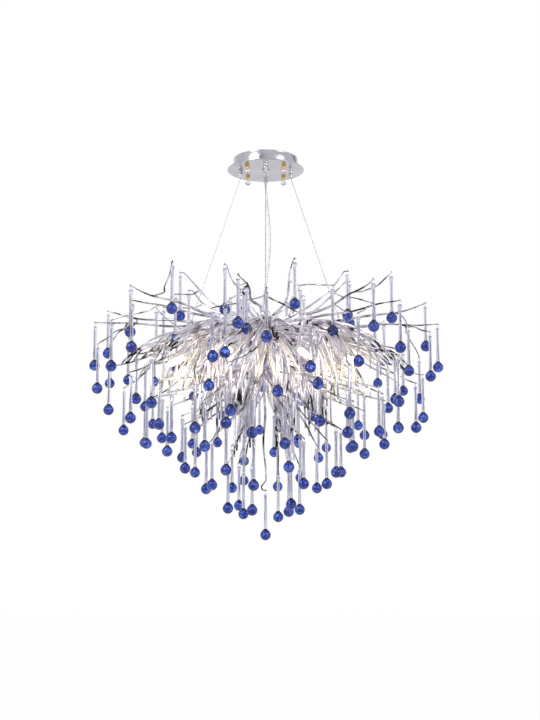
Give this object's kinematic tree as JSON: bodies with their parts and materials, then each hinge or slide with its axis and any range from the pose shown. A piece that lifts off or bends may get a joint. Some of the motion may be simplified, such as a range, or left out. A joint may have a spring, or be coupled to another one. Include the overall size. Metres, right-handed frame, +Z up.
{
  "type": "branch chandelier",
  "caption": "Round chandelier of forked chrome twigs with hanging glass icicle drops, on four steel cables and a power cord under a mirror canopy.",
  "frame": {"origin": "centre of the ceiling bracket's top face, in the plane of the ceiling", "axes": "+Z up out of the ceiling bracket, front towards -Y, +X to the right seen from the front"},
  "size_m": [0.7959, 0.7948, 0.872],
  "materials": {
    "mirror_steel": "mirror polished",
    "zinc_steel": "zinc plated",
    "brass": "polished",
    "clear_crystal": "cut and polished",
    "white_plastic": "satin",
    "gripper_chrome": "polished",
    "steel_cable": "stranded",
    "clear_cord": "clear PVC over tinned wires",
    "frame_chrome": "polished",
    "twig_chrome": "polished, softly uneven",
    "lampholder": "glazed ceramic",
    "lamp_glass": "frosted, lit",
    "blue_glass": "clear stem with a blue end"
  },
  "bodies": {
    "fixture": {"arm_knots": "frame_chrome", "bottom_drops": "blue_glass", "bottom_twigs": "twig_chrome", "brass_nuts": "brass", "cable_back": "steel_cable", "cable_eyes": "frame_chrome", "cable_ferrules": "zinc_steel", "cable_front": "steel_cable", "cable_grippers": "gripper_chrome", "cable_left": "steel_cable", "cable_right": "steel_cable", "canopy_drum": "mirror_steel", "canopy_studs": "zinc_steel", "ceiling_bracket": "zinc_steel", "cord_gland": "frame_chrome", "cord_grip": "white_plastic", "crown_drops": "blue_glass", "crown_twigs": "twig_chrome", "crystal_finials": "clear_crystal", "frame_arms": "frame_chrome", "hub": "frame_chrome", "hub_stem": "frame_chrome", "lamp_arms": "frame_chrome", "lampholders": "lampholder", "lamps": "lamp_glass", "lower_drops": "blue_glass", "lower_twigs": "twig_chrome", "middle_drops": "blue_glass", "middle_twigs": "twig_chrome", "mirror_disc": "mirror_steel", "power_cord": "clear_cord", "rim_drops": "blue_glass", "rim_twigs": "twig_chrome", "shoulder_drops": "blue_glass", "shoulder_twigs": "twig_chrome", "stem_collars": "frame_chrome", "terminal_block": "white_plastic", "upper_drops": "blue_glass", "upper_twigs": "twig_chrome"},
    "centre_drop": {"centre_drop": "blue_glass"},
    "crown_drop_1": {"crown_drop_1": "blue_glass"},
    "crown_drop_2": {"crown_drop_2": "blue_glass"},
    "crown_drop_3": {"crown_drop_3": "blue_glass"},
    "crown_drop_4": {"crown_drop_4": "blue_glass"},
    "crown_drop_5": {"crown_drop_5": "blue_glass"},
    "crown_drop_6": {"crown_drop_6": "blue_glass"},
    "crown_drop_7": {"crown_drop_7": "blue_glass"},
    "crown_drop_8": {"crown_drop_8": "blue_glass"},
    "rim_drop_1": {"rim_drop_1": "blue_glass"},
    "rim_drop_2": {"rim_drop_2": "blue_glass"},
    "rim_drop_3": {"rim_drop_3": "blue_glass"},
    "rim_drop_4": {"rim_drop_4": "blue_glass"},
    "rim_drop_5": {"rim_drop_5": "blue_glass"},
    "rim_drop_6": {"rim_drop_6": "blue_glass"},
    "rim_drop_7": {"rim_drop_7": "blue_glass"},
    "rim_drop_8": {"rim_drop_8": "blue_glass"},
    "shoulder_drop_1": {"shoulder_drop_1": "blue_glass"},
    "shoulder_drop_3": {"shoulder_drop_3": "blue_glass"},
    "shoulder_drop_5": {"shoulder_drop_5": "blue_glass"},
    "shoulder_drop_7": {"shoulder_drop_7": "blue_glass"}
  },
  "joints": [
    {"name": "centre_drop_swing", "type": "hinge", "parent": "fixture", "child": "centre_drop", "pos_m": [0, 0, -0.762], "axis": [1, 0, 0], "range_deg": [-25, 25]},
    {"name": "crown_drop_1_swing", "type": "hinge", "parent": "fixture", "child": "crown_drop_1", "pos_m": [0.19481, 0.06205, -0.27502], "axis": [0.9528, 0.3035, 0], "range_deg": [-25, 25]},
    {"name": "crown_drop_2_swing", "type": "hinge", "parent": "fixture", "child": "crown_drop_2", "pos_m": [0.09172, 0.18693, -0.28339], "axis": [0.4405, 0.8978, 0], "range_deg": [-25, 25]},
    {"name": "crown_drop_3_swing", "type": "hinge", "parent": "fixture", "child": "crown_drop_3", "pos_m": [-0.05963, 0.19372, -0.28066], "axis": [-0.2942, 0.9557, 0], "range_deg": [-25, 25]},
    {"name": "crown_drop_4_swing", "type": "hinge", "parent": "fixture", "child": "crown_drop_4", "pos_m": [-0.18037, 0.09483, -0.28935], "axis": [-0.8851, 0.4653, 0], "range_deg": [-25, 25]},
    {"name": "crown_drop_5_swing", "type": "hinge", "parent": "fixture", "child": "crown_drop_5", "pos_m": [-0.18977, -0.06053, -0.28126], "axis": [-0.9527, -0.3039, 0], "range_deg": [-25, 25]},
    {"name": "crown_drop_6_swing", "type": "hinge", "parent": "fixture", "child": "crown_drop_6", "pos_m": [-0.08626, -0.17679, -0.28957], "axis": [-0.4385, -0.8987, 0], "range_deg": [-25, 25]},
    {"name": "crown_drop_7_swing", "type": "hinge", "parent": "fixture", "child": "crown_drop_7", "pos_m": [0.06246, -0.19798, -0.28211], "axis": [0.3009, -0.9537, 0], "range_deg": [-25, 25]},
    {"name": "crown_drop_8_swing", "type": "hinge", "parent": "fixture", "child": "crown_drop_8", "pos_m": [0.18057, -0.09086, -0.28496], "axis": [0.8933, -0.4495, 0], "range_deg": [-25, 25]},
    {"name": "rim_drop_1_swing", "type": "hinge", "parent": "fixture", "child": "rim_drop_1", "pos_m": [0.38772, -0.00768, -0.38888], "axis": [0.9998, -0.0198, 0], "range_deg": [-25, 25]},
    {"name": "rim_drop_2_swing", "type": "hinge", "parent": "fixture", "child": "rim_drop_2", "pos_m": [0.27646, 0.28412, -0.38498], "axis": [0.6974, 0.7167, 0], "range_deg": [-25, 25]},
    {"name": "rim_drop_3_swing", "type": "hinge", "parent": "fixture", "child": "rim_drop_3", "pos_m": [-0.00728, 0.38639, -0.38255], "axis": [-0.0188, 0.9998, 0], "range_deg": [-25, 25]},
    {"name": "rim_drop_4_swing", "type": "hinge", "parent": "fixture", "child": "rim_drop_4", "pos_m": [-0.27523, 0.27706, -0.38269], "axis": [-0.7048, 0.7094, 0], "range_deg": [-25, 25]},
    {"name": "rim_drop_5_swing", "type": "hinge", "parent": "fixture", "child": "rim_drop_5", "pos_m": [-0.3846, -0.00808, -0.38491], "axis": [-0.9998, -0.021, 0], "range_deg": [-25, 25]},
    {"name": "rim_drop_6_swing", "type": "hinge", "parent": "fixture", "child": "rim_drop_6", "pos_m": [-0.27339, -0.26943, -0.38648], "axis": [-0.7122, -0.7019, 0], "range_deg": [-25, 25]},
    {"name": "rim_drop_7_swing", "type": "hinge", "parent": "fixture", "child": "rim_drop_7", "pos_m": [0.00303, -0.38482, -0.38523], "axis": [0.0079, -1, 0], "range_deg": [-25, 25]},
    {"name": "rim_drop_8_swing", "type": "hinge", "parent": "fixture", "child": "rim_drop_8", "pos_m": [0.27702, -0.26776, -0.38679], "axis": [0.719, -0.695, 0], "range_deg": [-25, 25]},
    {"name": "shoulder_drop_1_swing", "type": "hinge", "parent": "fixture", "child": "shoulder_drop_1", "pos_m": [0.3558, 0.02088, -0.49983], "axis": [0.9983, 0.0586, 0], "range_deg": [-25, 25]},
    {"name": "shoulder_drop_3_swing", "type": "hinge", "parent": "fixture", "child": "shoulder_drop_3", "pos_m": [-0.01641, 0.35548, -0.49418], "axis": [-0.0461, 0.9989, 0], "range_deg": [-25, 25]},
    {"name": "shoulder_drop_5_swing", "type": "hinge", "parent": "fixture", "child": "shoulder_drop_5", "pos_m": [-0.34815, -0.03043, -0.48781], "axis": [-0.9962, -0.0871, 0], "range_deg": [-25, 25]},
    {"name": "shoulder_drop_7_swing", "type": "hinge", "parent": "fixture", "child": "shoulder_drop_7", "pos_m": [0.02539, -0.35536, -0.48865], "axis": [0.0713, -0.9975, 0], "range_deg": [-25, 25]}
  ]
}
